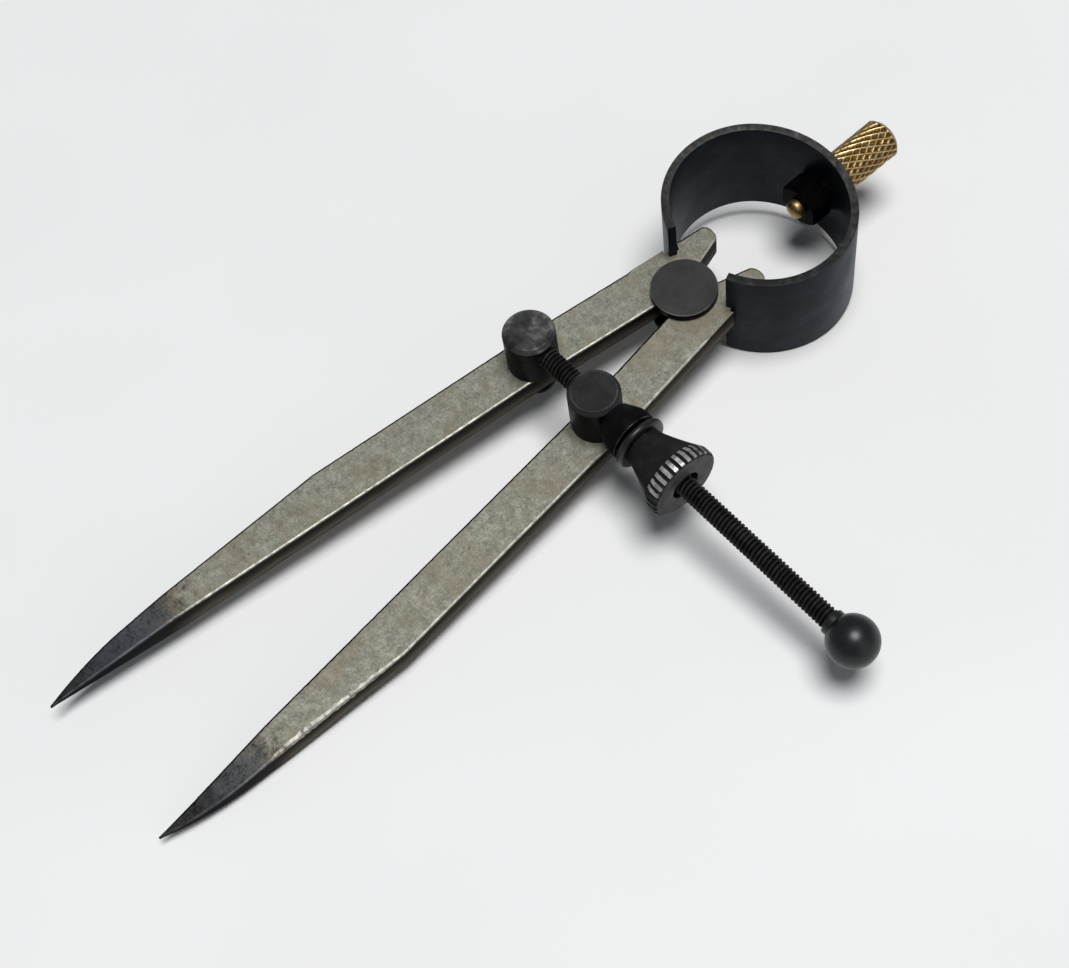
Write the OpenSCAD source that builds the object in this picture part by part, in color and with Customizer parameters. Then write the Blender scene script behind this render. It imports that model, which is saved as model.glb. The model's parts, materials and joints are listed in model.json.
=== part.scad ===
// Spring divider with two flat legs on a round fulcrum, a bow spring over their heads,
// a knurled handle, and an adjusting screw with a conical nut between two swivel posts.
// The origin lies on the fulcrum axis in the middle plane of the legs.
// The legs point along -Y, the handle along +Y, and the screw runs along X.

/* [Legs] */
// Distance from the fulcrum axis to each point
leg_length = 75; // [60:1:110]
// Gap between the two points as the divider lies
point_gap = 17.5; // [8:0.5:30]
// Width of a leg
leg_w = 5.05; // [4.4:0.05:6.5]
// Thickness of a leg
leg_t = 2.6; // [2:0.1:3.4]
// Length of a leg above the fulcrum axis
head_len = 6.9; // [5.8:0.1:9]
// Width of a leg across its top
head_w = 2.1; // [1.9:0.1:2.6]
// Radius of the corners at the top of a leg
head_r = 0.95; // [0.6:0.05:0.95]
// Distance of the inner edge from the middle, beside the fulcrum, with the points together
fulcrum_gap = 0.44; // [0.2:0.02:0.8]
// Distance of the inner edge from the middle, at the posts, with the points together
post_gap = 0.8; // [0.7:0.05:1.5]
// Length of the tapered part of the left leg
left_taper_len = 33; // [24:0.5:40]
// Length of the tapered part of the right leg
right_taper_len = 27.5; // [24:0.5:40]
// Width that the taper would leave at the point before grinding
taper_end_w = 1.5; // [0.8:0.1:2]
// Length of the ground point
grind_len = 9.5; // [6:0.5:18]
// Width left at the point
point_w = 0.2; // [0.1:0.05:0.4]
// Length over which the point thins
thin_len = 14; // [8:0.5:24]
// Thickness left at the point
point_t = 0.3; // [0.2:0.05:0.6]

/* [Fulcrum] */
// Diameter of the hub between the legs
hub_d = 4.2; // [3.4:0.1:4.6]
// Diameter of the two flanges
flange_d = 7; // [6:0.1:7.8]
// Thickness of a flange
flange_t = 0.9; // [0.6:0.1:1.4]
// Chamfer round the upper flange
flange_chamfer = 0.15; // [0.1:0.05:0.4]
// Diameter of the tenon that is riveted into the lower flange
fulcrum_tenon_d = 2.4; // [1.6:0.1:3]
// Height of a riveted tenon below its washer
rivet_h = 0.2; // [0.1:0.05:0.4]

/* [Bow spring] */
// Width of the loop across the legs
spring_w = 20.9; // [19:0.1:26]
// Length of the loop along the handle
spring_l = 19.4; // [18:0.1:24]
// Height of the band
band_h = 12.8; // [10:0.2:15]
// Thickness of the band
band_t = 0.9; // [0.7:0.05:1.1]
// Half angle of the mouth at the ends of the band
mouth_deg = 22.5; // [20:0.5:24]
// Half angle at the bottom of the slots in the ends
seat_deg = 25.5; // [24.5:0.25:28]
// Distance from the fulcrum axis to the nearest point of the loop
spring_back = 1; // [0.6:0.1:2]
// Room beside the band in each leg's notch
notch_gap = 0.36; // [0.2:0.02:0.5]

/* [Handle] */
// Diameter of the handle
handle_d = 4.6; // [3.6:0.1:6]
// Length of the handle outside the loop
handle_len = 9; // [6:0.5:24]
// Chamfer at the end of the handle
handle_chamfer = 0.45; // [0.2:0.05:0.8]
// Diameter of the stud through the band
stud_d = 2.2; // [1.6:0.1:2.6]
// Length of the stud inside the loop
stud_len = 4.2; // [3:0.1:5]
// Height of the domed end of the stud
dome_h = 0.6; // [0.2:0.05:0.6]
// Size of the handle nut across its flats
handle_nut_af = 4.5; // [3.4:0.1:5]
// Thickness of the handle nut
handle_nut_t = 2.8; // [1.2:0.1:3.2]

/* [Posts] */
// Distance from the fulcrum axis to a post along the closed legs
post_along = 16.9; // [15:0.05:24]
// Distance from the inner edge of a leg to its post
post_in = 2.1; // [2:0.05:3]
// Diameter of a post
post_d = 5.4; // [4.8:0.1:5.6]
// Height of a post above its leg
post_h = 5.6; // [5.2:0.1:7]
// Chamfer at the top of a post
post_chamfer = 0.4; // [0.2:0.05:0.6]
// Diameter of a post's tenon
tenon_d = 2.8; // [2:0.1:3.2]
// Diameter of the washer under a leg
foot_washer_d = 4.4; // [4:0.1:5]
// Thickness of the washer under a leg
foot_washer_t = 0.6; // [0.4:0.1:1]

/* [Adjusting screw] */
// Diameter over the thread
screw_d = 2.2; // [1.8:0.1:2.4]
// Height of the screw above the middle plane of the legs
screw_z = 5; // [4:0.1:5.2]
// Depth of the screw's far end below the side of its post
screw_inset = 0.5; // [0.2:0.1:1.5]
// Distance from the near post to the middle of the ball
ball_reach = 35.2; // [30:0.1:50]
// Diameter of the ball
ball_d = 5.2; // [4:0.1:7]
// Diameter of the ball's neck
ball_neck_d = 2.7; // [2.6:0.1:3.6]
// Length of the neck in front of the ball
ball_neck_len = 0.2; // [0.2:0.1:1]

/* [Collar and thrust washer] */
// Diameter of the cupped collar
collar_d = 5.4; // [5:0.1:6]
// Length of the cupped collar
collar_len = 3; // [2:0.1:3.2]
// Diameter of the collar where it meets the post
collar_back_d = 3.8; // [3.2:0.1:4.8]
// Length of the slope behind the collar
collar_slope = 1.7; // [0.6:0.1:2]
// Width of the rim round the cup
cup_rim = 0.45; // [0.3:0.05:0.7]
// Width of the flat floor of the cup
cup_floor = 0.25; // [0.15:0.05:0.4]
// Depth of the cup
cup_depth = 0.8; // [0.6:0.1:1]
// Length of the washer's nose that sits in the cup
nose_len = 0.85; // [0.3:0.05:1]
// Diameter of the thrust washer
thrust_d = 5.9; // [5.6:0.1:7]
// Thickness of the thrust washer
thrust_t = 0.8; // [0.6:0.1:1.8]

/* [Nut] */
// Length of the nut
nut_len = 6; // [5.6:0.1:9]
// Diameter of the nut at its small end
nut_small_d = 4.2; // [3.9:0.1:5]
// Diameter of the nut where its neck meets the flare
nut_neck_d = 4.5; // [4:0.1:5.4]
// Length of the neck
nut_neck_len = 0.8; // [0.5:0.1:1.4]
// Depth of the hollow in the flare
flare_sag = 0.06; // [0.04:0.02:0.4]
// Diameter of the nut over its knurled rim
rim_d = 7.9; // [7.4:0.1:10]
// Length of the knurled rim
rim_len = 1.2; // [1:0.1:2.4]
// Height of the step between the flare and the rim
rim_step = 0.2; // [0.1:0.05:0.8]
// Radius of the rounded edge at the face of the nut
rim_round = 0.4; // [0.3:0.05:0.8]
// Number of knurls round the rim
rim_knurls = 30; // [24:1:60]
// Radius of one knurl groove
knurl_r = 0.2; // [0.12:0.01:0.3]
// Depth of the knurls
knurl_depth = 0.16; // [0.06:0.02:0.2]
// Diameter of the well round the screw
well_d = 3.2; // [3:0.1:4.4]
// Depth of the well
well_depth = 0.9; // [0.3:0.1:1]

/* [Fits] */
// Radial room of a part that turns or slides
run_fit = 0.05; // [0.03:0.01:0.1]
// Room between faces that slide past each other
face_gap = 0.05; // [0.03:0.01:0.1]
// Room between the collar and the thrust washer
cup_gap = 0.4; // [0.1:0.05:0.6]
// Small chamfer on turned edges
edge = 0.15; // [0.05:0.05:0.2]

/* [Hidden] */
$fn = 96;
over = 1;

// Angle of each leg away from its closed place
open_deg = asin(point_gap / 2 / leg_length);

// Outline of the right leg with the points together
post_x = post_gap + post_in;
bend_y = -post_along;
head_in_x = fulcrum_gap + leg_w - head_w;
head_out_x = fulcrum_gap + leg_w;
bevel_deg = atan((head_in_x - fulcrum_gap) / head_len);
head_cy = head_len - head_r;
head_cx_in = fulcrum_gap + head_cy * tan(bevel_deg) + head_r / cos(bevel_deg);
head_cx_out = max(head_out_x - head_r, head_cx_in);

// Arc of the ground point
grind_depth = taper_end_w - point_w;
grind_r = (grind_len * grind_len + grind_depth * grind_depth) / (2 * grind_depth);

// Posts as the divider lies
post_rest_x = post_x * cos(open_deg) + post_along * sin(open_deg);
post_rest_y = post_x * sin(open_deg) - post_along * cos(open_deg);

// Faces above and below the legs
leg_top = leg_t / 2;
flange_z = leg_top + face_gap;
foot_z = -leg_top - face_gap;
flange_side = flange_t - flange_chamfer;
post_side = post_h - post_chamfer;

// Spring loop drawn with four tangent arcs: two crown arcs and two side arcs
loop_a = spring_w / 2;
loop_b = spring_l / 2;
loop_y = spring_back + loop_b;
side_c = 1.6 * (loop_a - loop_b);
side_r = loop_a - side_c;
arc_d = loop_b - side_r;
crown_c = (side_c * side_c - arc_d * arc_d) / (2 * arc_d);
crown_r = crown_c + loop_b;
slot_h = leg_t + 2 * face_gap;

// Notch in a leg: middle of the band at the bottom of its slot, and the slope of the notch
notch_r = crown_r - band_t / 2;
notch_x = notch_r * sin(seat_deg);
notch_y = loop_y + crown_c - notch_r * cos(seat_deg);
notch_deg = seat_deg + 1.5;

// Handle
crown_y = loop_y + loop_b;
nut_corner = handle_nut_af / 2 / cos(30);
handle_nut_y = loop_y - crown_c + sqrt(pow(crown_r - band_t, 2) - pow(nut_corner, 2));
handle_side = handle_len - handle_chamfer;
stud_reach = band_t + stud_len;

// Stations along the screw
post_face_x = post_rest_x + post_d / 2;
collar_x = post_face_x + face_gap / 2;
thrust_x = collar_x + collar_len + cup_gap;
nut_x = thrust_x + thrust_t + face_gap;
ball_x = post_rest_x + ball_reach;
screw_x = -post_rest_x - post_d / 2 + screw_inset;
bore_d = screw_d + 2 * run_fit;

// Cup of the collar and nose of the thrust washer, with the same slope
cup_out_r = collar_d / 2 - cup_rim;
cup_in_r = bore_d / 2 + cup_floor;
cup_slope = (cup_out_r - cup_in_r) / cup_depth;
nose_r = cup_out_r - cup_slope * (cup_depth - nose_len);

// Nut: neck, hollow flare and rim
rim_r = rim_d / 2;
rim_x = nut_len - rim_round - rim_len;
neck_r = nut_neck_d / 2;
flare_r_end = rim_r - rim_step;
flare_dx = rim_x - nut_neck_len;
flare_dr = flare_r_end - neck_r;
flare_chord = sqrt(pow(flare_dr, 2) + pow(flare_dx, 2));
flare_r = (pow(flare_chord, 2) / 4 + pow(flare_sag, 2)) / (2 * flare_sag);
flare_cx = (neck_r + flare_r_end) / 2 + (flare_r - flare_sag) * flare_dx / flare_chord;
flare_cy = (nut_neck_len + rim_x) / 2 - (flare_r - flare_sag) * flare_dr / flare_chord;

steel = [0.58, 0.57, 0.53];
blackened = [0.16, 0.16, 0.17];
spring_blue = [0.15, 0.17, 0.19];
brass = [0.72, 0.57, 0.30];

// Plan of the right leg with the points together; the ground point is an arc that leaves the taper
module leg_plan(taper_len) {
    taper_y = -leg_length + taper_len;
    taper_x = post_gap * taper_len / (leg_length - post_along) + leg_w;
    taper_deg = atan((taper_x - taper_end_w) / taper_len);
    grind_x = taper_end_w + grind_len * sin(taper_deg) - grind_r * cos(taper_deg);
    grind_y = -leg_length + grind_len * cos(taper_deg) + grind_r * sin(taper_deg);
    intersection() {
        union() {
            polygon([
                [fulcrum_gap, 0],
                [post_gap, bend_y],
                [0, -leg_length],
                [taper_end_w, -leg_length],
                [taper_x, taper_y],
                [post_gap + leg_w, bend_y],
                [head_out_x, 0],
                [head_out_x, head_cy],
                [head_cx_out, head_len],
                [head_cx_in, head_len],
                [head_cx_in - head_r * cos(bevel_deg), head_cy + head_r * sin(bevel_deg)]
            ]);
            translate([head_cx_in, head_cy])
                circle(r = head_r);
            translate([head_cx_out, head_cy])
                circle(r = head_out_x - head_cx_out);
        }
        union() {
            translate([grind_x, grind_y])
                circle(r = grind_r);
            translate([-leg_w, -leg_length + grind_len * cos(taper_deg)])
                square([3 * leg_w, leg_length + head_len]);
        }
    }
}

// Side outline that thins the leg towards its point
module leg_side() {
    polygon([
        [head_len + over, -leg_top],
        [head_len + over, leg_top],
        [-leg_length + thin_len, leg_top],
        [-leg_length, point_t / 2],
        [-leg_length, -point_t / 2],
        [-leg_length + thin_len, -leg_top]
    ]);
}

// Notch that takes the end of the spring band, as the divider lies
module spring_notch() {
    translate([notch_x, notch_y, -leg_t])
        rotate([0, 0, notch_deg])
            translate([-face_gap, -band_t / 2 - notch_gap, 0])
                cube([leg_w, band_t + 2 * notch_gap, 2 * leg_t]);
}

module leg(taper_len) {
    difference() {
        rotate([0, 0, open_deg])
            difference() {
                intersection() {
                    translate([0, 0, -leg_top])
                        linear_extrude(leg_t)
                            leg_plan(taper_len);
                    translate([-leg_w, 0, 0])
                        rotate([90, 0, 90])
                            linear_extrude(4 * leg_w)
                                leg_side();
                }
                translate([post_x, bend_y, -leg_t])
                    cylinder(d = tenon_d + 2 * run_fit, h = 2 * leg_t);
            }
        translate([0, 0, -leg_t])
            cylinder(d = hub_d + 2 * run_fit, h = 2 * leg_t);
        spring_notch();
    }
}

module left_leg() {
    color(steel)
        mirror([1, 0, 0])
            leg(left_taper_len);
}

module right_leg() {
    color(steel)
        leg(right_taper_len);
}

// Top flange, hub and tenon in one turned piece
module fulcrum_stud() {
    color(blackened) {
        translate([0, 0, flange_z])
            cylinder(d = flange_d, h = flange_side);
        translate([0, 0, flange_z + flange_side])
            cylinder(d1 = flange_d, d2 = flange_d - 2 * flange_chamfer, h = flange_chamfer);
        translate([0, 0, foot_z])
            cylinder(d = hub_d, h = leg_t + 2 * face_gap);
        translate([0, 0, foot_z - flange_t - rivet_h])
            cylinder(d = fulcrum_tenon_d, h = flange_t + rivet_h + leg_t);
    }
}

module fulcrum_washer() {
    color(blackened)
        translate([0, 0, foot_z - flange_t])
            difference() {
                cylinder(d = flange_d, h = flange_t);
                translate([0, 0, -over])
                    cylinder(d = fulcrum_tenon_d, h = flange_t + 2 * over);
            }
}

// Closed loop of the spring, drawn in by the given amount
module loop_plan(inset) {
    strip = side_c * (crown_r - inset) / (crown_r - side_r);
    intersection() {
        translate([0, loop_y - crown_c])
            circle(r = crown_r - inset);
        translate([0, loop_y + crown_c])
            circle(r = crown_r - inset);
        translate([-strip, loop_y - loop_a])
            square([2 * strip, 2 * loop_a]);
    }
    for (side = [-1, 1])
        translate([side * side_c, loop_y])
            circle(r = side_r - inset);
}

// Wedge that opens the loop towards the legs
module mouth(half_deg, h) {
    reach = 2 * crown_r;
    translate([0, loop_y + crown_c, -h / 2])
        linear_extrude(h)
            polygon([
                [0, 0],
                [-reach * sin(half_deg), -reach * cos(half_deg)],
                [reach * sin(half_deg), -reach * cos(half_deg)]
            ]);
}

module bow_spring() {
    color(spring_blue)
        difference() {
            translate([0, 0, -band_h / 2])
                linear_extrude(band_h)
                    difference() {
                        loop_plan(0);
                        loop_plan(band_t);
                    }
            mouth(mouth_deg, band_h + 2 * over);
            mouth(seat_deg, slot_h);
            translate([0, crown_y - band_t - over, 0])
                rotate([-90, 0, 0])
                    cylinder(d = stud_d + 2 * run_fit, h = band_t + 2 * over);
        }
}

// Handle outside the loop, with its stud through the band and a domed end inside
module handle() {
    color(brass)
        translate([0, crown_y, 0])
            rotate([-90, 0, 0]) {
                cylinder(d = handle_d, h = handle_side);
                translate([0, 0, handle_side])
                    cylinder(d1 = handle_d, d2 = handle_d - 2 * handle_chamfer, h = handle_chamfer);
                translate([0, 0, dome_h - stud_reach])
                    cylinder(d = stud_d, h = stud_reach - dome_h + handle_chamfer);
                translate([0, 0, -stud_reach])
                    cylinder(d1 = stud_d - 2 * dome_h, d2 = stud_d, h = dome_h);
            }
}

module handle_nut() {
    color(blackened)
        translate([0, handle_nut_y, 0])
            rotate([90, 0, 0])
                difference() {
                    cylinder(r = nut_corner, h = handle_nut_t, $fn = 6);
                    translate([0, 0, -over])
                        cylinder(d = stud_d, h = handle_nut_t + 2 * over);
                }
}

// Round post with a cross bore for the screw and a tenon through its leg
module post(bore) {
    difference() {
        union() {
            translate([0, 0, leg_top])
                cylinder(d = post_d, h = post_side);
            translate([0, 0, leg_top + post_side])
                cylinder(d1 = post_d, d2 = post_d - 2 * post_chamfer, h = post_chamfer);
            translate([0, 0, foot_z - foot_washer_t - rivet_h])
                cylinder(d = tenon_d, h = rivet_h + foot_washer_t + slot_h);
        }
        translate([-post_d, 0, screw_z])
            rotate([0, 90, 0])
                cylinder(d = bore, h = 2 * post_d);
    }
}

module foot_washer() {
    translate([0, 0, foot_z - foot_washer_t])
        difference() {
            cylinder(d = foot_washer_d, h = foot_washer_t);
            translate([0, 0, -over])
                cylinder(d = tenon_d, h = foot_washer_t + 2 * over);
        }
}

module left_post() {
    color(blackened)
        translate([-post_rest_x, post_rest_y, 0])
            post(screw_d);
}

module right_post() {
    color(blackened)
        translate([post_rest_x, post_rest_y, 0])
            post(bore_d);
}

module left_post_washer() {
    color(blackened)
        translate([-post_rest_x, post_rest_y, 0])
            foot_washer();
}

module right_post_washer() {
    color(blackened)
        translate([post_rest_x, post_rest_y, 0])
            foot_washer();
}

// Places turned parts on the screw axis, with their own axis along +X
module on_screw(x) {
    translate([x, post_rest_y, screw_z])
        rotate([0, 90, 0])
            children();
}

module adjusting_screw() {
    color(blackened)
        on_screw(screw_x)
            cylinder(d = screw_d, h = ball_x - screw_x);
}

module ball_stop() {
    neck_z = -ball_d / 2 - ball_neck_len;
    color(blackened)
        on_screw(ball_x)
            difference() {
                union() {
                    sphere(d = ball_d);
                    translate([0, 0, neck_z])
                        cylinder(d = ball_neck_d, h = -neck_z);
                }
                translate([0, 0, neck_z - over])
                    cylinder(d = screw_d, h = over - neck_z);
            }
}

// Turned collar with a narrow back and a cup towards the nut
module seat_collar() {
    color(blackened)
        on_screw(collar_x)
            rotate_extrude()
                polygon([
                    [bore_d / 2, 0],
                    [collar_back_d / 2, 0],
                    [collar_d / 2, collar_slope],
                    [collar_d / 2, collar_len - edge],
                    [collar_d / 2 - edge, collar_len],
                    [cup_out_r, collar_len],
                    [cup_in_r, collar_len - cup_depth],
                    [bore_d / 2, collar_len - cup_depth]
                ]);
}

// Washer with a full round edge and a nose that sits in the cup
module thrust_washer() {
    round_r = thrust_t / 2;
    round_x = thrust_d / 2 - round_r;
    color(blackened)
        on_screw(thrust_x)
            rotate_extrude()
                union() {
                    polygon([
                        [bore_d / 2, -nose_len],
                        [nose_r - cup_slope * nose_len, -nose_len],
                        [nose_r, 0],
                        [round_x, 0],
                        [round_x, thrust_t],
                        [bore_d / 2, thrust_t]
                    ]);
                    translate([round_x, round_r])
                        circle(r = round_r);
                }
}

// Conical nut that flares to a knurled rim, with a well round the screw
module adjusting_nut() {
    color(blackened)
        on_screw(nut_x)
            difference() {
                rotate_extrude()
                    difference() {
                        union() {
                            polygon([
                                [bore_d / 2, 0],
                                [nut_small_d / 2 - edge, 0],
                                [nut_small_d / 2, edge],
                                [neck_r, nut_neck_len],
                                [flare_r_end, rim_x],
                                [rim_r - edge, rim_x],
                                [rim_r, rim_x + edge],
                                [rim_r, nut_len - rim_round],
                                [rim_r - rim_round, nut_len],
                                [well_d / 2, nut_len],
                                [well_d / 2, nut_len - well_depth],
                                [bore_d / 2, nut_len - well_depth]
                            ]);
                            translate([rim_r - rim_round, nut_len - rim_round])
                                circle(r = rim_round);
                        }
                        translate([flare_cx, flare_cy])
                            circle(r = flare_r);
                    }
                for (i = [0:rim_knurls - 1])
                    rotate([0, 0, i * 360 / rim_knurls])
                        translate([rim_r + knurl_r - knurl_depth, 0, rim_x - edge])
                            cylinder(r = knurl_r, h = rim_len + rim_round, $fn = 16);
            }
}

left_leg();
right_leg();
bow_spring();
fulcrum_stud();
fulcrum_washer();
handle();
handle_nut();
left_post();
right_post();
left_post_washer();
right_post_washer();
adjusting_screw();
ball_stop();
seat_collar();
thrust_washer();
adjusting_nut();
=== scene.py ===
import json
import math

import bmesh
import bpy
import numpy as np
from mathutils import Matrix, Vector, noise


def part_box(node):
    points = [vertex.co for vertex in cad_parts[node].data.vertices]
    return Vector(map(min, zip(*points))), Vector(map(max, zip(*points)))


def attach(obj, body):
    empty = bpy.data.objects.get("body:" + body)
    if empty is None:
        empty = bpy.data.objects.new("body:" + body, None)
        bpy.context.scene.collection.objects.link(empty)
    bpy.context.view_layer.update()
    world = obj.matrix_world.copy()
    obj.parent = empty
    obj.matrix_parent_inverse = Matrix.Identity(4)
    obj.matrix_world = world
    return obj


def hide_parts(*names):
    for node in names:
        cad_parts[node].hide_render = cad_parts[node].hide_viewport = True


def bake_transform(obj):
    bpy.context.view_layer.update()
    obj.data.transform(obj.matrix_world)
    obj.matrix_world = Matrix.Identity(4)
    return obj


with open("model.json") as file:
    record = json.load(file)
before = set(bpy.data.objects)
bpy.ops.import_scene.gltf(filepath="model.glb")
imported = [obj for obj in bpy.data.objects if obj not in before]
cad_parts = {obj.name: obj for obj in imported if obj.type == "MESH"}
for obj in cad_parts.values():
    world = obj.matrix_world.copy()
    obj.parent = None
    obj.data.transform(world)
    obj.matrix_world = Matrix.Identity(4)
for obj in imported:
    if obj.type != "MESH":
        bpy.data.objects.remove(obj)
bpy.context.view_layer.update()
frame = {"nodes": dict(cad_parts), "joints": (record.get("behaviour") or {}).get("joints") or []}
mm = 0.001
legLength, pointGap = 75.0, 17.5    # mm, fulcrum to point, and between the points as the divider lies
openTurn = math.asin(pointGap / 2 / legLength)    # each leg away from the middle
jointAt = {j["name"]: Vector(j["pos_m"]) / mm for j in frame["joints"]}
postX = jointAt["seat_post_swivel"].x
screwY = jointAt["nut_turn"].y
screwZ = jointAt["nut_turn"].z
print("frame loaded:", len(frame["nodes"]), "nodes")


def spanOf(node, axis):  # low and high face of a node's box in mm
    return [corner[axis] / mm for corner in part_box(node)]


def hexLinear(text):  # sRGB hex to linear RGBA
    parts = [int(text[i:i + 2], 16) / 255 for i in (1, 3, 5)]
    return tuple(c / 12.92 if c <= 0.04045 else ((c + 0.055) / 1.055) ** 2.4 for c in parts) + (1.0,)


def setUp(tree, node, settings):  # keys are properties, input names or input numbers; sockets become links
    for key, value in settings.items():
        if key == "stops":
            ramp = node.color_ramp.elements
            while len(ramp) < len(value):
                ramp.new(0.5)
            for element, (at, colour) in zip(ramp, value):
                element.position = at
                element.color = hexLinear(colour)
        elif isinstance(key, str) and hasattr(node, key):
            setattr(node, key, value)
        elif isinstance(value, bpy.types.NodeSocket):
            tree.links.new(value, node.inputs[key])
        else:
            node.inputs[key].default_value = value
    return node


def addNode(tree, kind, settings):
    return setUp(tree, tree.nodes.new("ShaderNode" + kind), settings)


def newMaterial(name):  # with its tree, its shader and the object's own coordinates
    material = bpy.data.materials.new(name)
    material.use_nodes = True
    tree = material.node_tree
    coords = addNode(tree, "TexCoord", {})
    return material, tree, tree.nodes["Principled BSDF"], coords.outputs["Object"]


heatLook = {
    "left": {
        "turn": openTurn, "span": 22.0,    # mm of tint from the point up
        "stops": [(0.0, "#0a0a0b"), (0.12, "#1c1e22"), (0.34, "#343841"), (0.58, "#47494e"),
                  (0.70, "#4a3f36"), (0.82, "#756a5b")],
    },
    "right": {
        "turn": -openTurn, "span": 18.5,
        "stops": [(0.0, "#0a0a0b"), (0.12, "#1c1d1f"), (0.34, "#2e3035"), (0.58, "#4e4f4f"),
                  (0.70, "#574b40"), (0.82, "#736a5c")],
    },
}
heatEdge = {"ragged": 1.5, "full": 0.58, "none": 0.82, "cover": 0.92}    # ragged in mm, full, none in spans


# temper colours from the point up: black, blue grey, then a brown border that is ragged
def heatTint(tree, along, heat, uneven):
    edge = heatEdge
    reach = addNode(tree, "SeparateXYZ", {"Vector": along})
    fromPoint = addNode(tree, "Math", {"operation": "ADD", 0: reach.outputs[1], 1: legLength * mm})
    ragged = addNode(tree, "MapRange", {
        "Value": uneven, "From Min": 0.3, "From Max": 0.7,
        "To Min": -edge["ragged"] * mm, "To Max": edge["ragged"] * mm})
    shifted = addNode(tree, "Math", {"operation": "ADD", 0: fromPoint.outputs[0], 1: ragged.outputs[0]})
    share = addNode(tree, "MapRange", {
        "Value": shifted.outputs[0], "From Min": 0, "From Max": heat["span"] * mm})
    tint = addNode(tree, "ValToRGB", {"Fac": share.outputs[0], "stops": heat["stops"]})
    cover = addNode(tree, "MapRange", {
        "Value": share.outputs[0], "From Min": edge["full"], "From Max": edge["none"],
        "To Min": edge["cover"], "To Max": 0, "interpolation_type": "SMOOTHSTEP"})
    return tint.outputs[0], cover.outputs[0]


steelLook = {
    "dark": "#68675d", "mid": "#818074", "light": "#9a988c",
    "brown": "#7c7260", "pit": "#3a362f", "scale": "#0f0f11",
    "roughness": 0.62, "swing": 0.07, "bumpy": 0.45,
    "brushed": 0.14, "gritty": 0.45, "oily": 0.62, "pitted": 0.6, "flaked": 0.75,    # share of each mark
    "streakWide": 0.2, "streakLong": 4.0,    # mm across and along the leg, wider than real, to show
    "blotch": 1.2, "stain": 2.6, "pitGap": 1.3, "bump": 0.012,    # mm
    "grit": 0.2,    # mm, coarser than the real one, to show
}


# ground mild steel: olive grey, satin, blotched by handling and oil, points blued by the grinding heat
def groundSteel(name, heat):
    look = steelLook
    material, tree, shader, coords = newMaterial(name)
    along = addNode(tree, "Mapping", {"Vector": coords, "Rotation": (0, 0, heat["turn"])}).outputs[0]
    across, length = 1 / (look["streakWide"] * mm), 1 / (look["streakLong"] * mm)
    pulled = addNode(tree, "Mapping", {"Vector": along, "Scale": (across, length, across)})
    streak = addNode(tree, "TexNoise", {
        "Vector": pulled.outputs[0], "Scale": 1, "Detail": 3, "Roughness": 0.6})
    blotch = addNode(tree, "TexNoise", {
        "Vector": along, "Scale": 1 / (look["blotch"] * mm), "Detail": 6, "Roughness": 0.72})
    stain = addNode(tree, "TexNoise", {
        "Vector": along, "Scale": 1 / (look["stain"] * mm), "Detail": 3, "Distortion": 0.4})
    grit = addNode(tree, "TexNoise", {
        "Vector": along, "Scale": 1 / (look["grit"] * mm), "Detail": 2, "Roughness": 0.7})
    brushed = addNode(tree, "Mix", {0: look["brushed"], 2: blotch.outputs[0], 3: streak.outputs[0]})
    mottle = addNode(tree, "Mix", {0: look["gritty"], 2: brushed.outputs[0], 3: grit.outputs[0]}).outputs[0]
    tone = addNode(tree, "ValToRGB", {"Fac": mottle, "stops": [
        (0.36, look["dark"]), (0.50, look["mid"]), (0.64, look["light"])]})
    oily = addNode(tree, "MapRange", {
        "Value": stain.outputs[0], "From Min": 0.48, "From Max": 0.68, "To Min": 0, "To Max": look["oily"]})
    stained = addNode(tree, "Mix", {
        "data_type": "RGBA", 0: oily.outputs[0], 6: tone.outputs[0], 7: hexLinear(look["brown"])})
    cells = addNode(tree, "TexVoronoi", {"Vector": along, "Scale": 1 / (look["pitGap"] * mm)})
    pits = addNode(tree, "MapRange", {
        "Value": cells.outputs["Distance"], "From Min": 0.04, "From Max": 0.09,
        "To Min": look["pitted"], "To Max": 0})
    worn = addNode(tree, "Mix", {
        "data_type": "RGBA", 0: pits.outputs[0], 6: stained.outputs[2], 7: hexLinear(look["pit"])})
    tint, cover = heatTint(tree, along, heat, blotch.outputs[0])
    tinted = addNode(tree, "Mix", {"data_type": "RGBA", 0: cover, 6: worn.outputs[2], 7: tint})
    flake = addNode(tree, "MapRange", {    # burnt scale left in flecks where the heat was
        "Value": mottle, "From Min": 0.5, "From Max": 0.38, "To Min": 0, "To Max": look["flaked"]})
    flaked = addNode(tree, "Math", {"operation": "MULTIPLY", 0: flake.outputs[0], 1: cover})
    scaled = addNode(tree, "Mix", {
        "data_type": "RGBA", 0: flaked.outputs[0], 6: tinted.outputs[2], 7: hexLinear(look["scale"])})
    gloss = addNode(tree, "MapRange", {
        "Value": mottle, "From Min": 0.3, "From Max": 0.7,
        "To Min": look["roughness"] + look["swing"], "To Max": look["roughness"] - look["swing"]})
    bump = addNode(tree, "Bump", {
        "Height": mottle, "Strength": look["bumpy"], "Distance": look["bump"] * mm})
    setUp(tree, shader, {
        "Base Color": scaled.outputs[2], "Roughness": gloss.outputs[0], "Metallic": 1,
        "Normal": bump.outputs[0]})
    return material


edgeLook = {
    "stops": [(0.0, "#38352e"), (0.2, "#5a564d"), (0.42, "#443f37"), (0.66, "#231f18"), (1.0, "#13110d")],
    "burnt": "#060607", "burnMix": 0.85,
    "metallic": 0.2, "specular": 0.015, "rough": 0.62, "smooth": 0.44, "bumpy": 0.5,
    "cloud": (1.0, 4.5, 0.8),    # mm across, along and down the edge
    "half": 1.3, "ragged": 0.3, "bump": 0.03,    # mm; half of the bar's thickness
}


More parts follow.
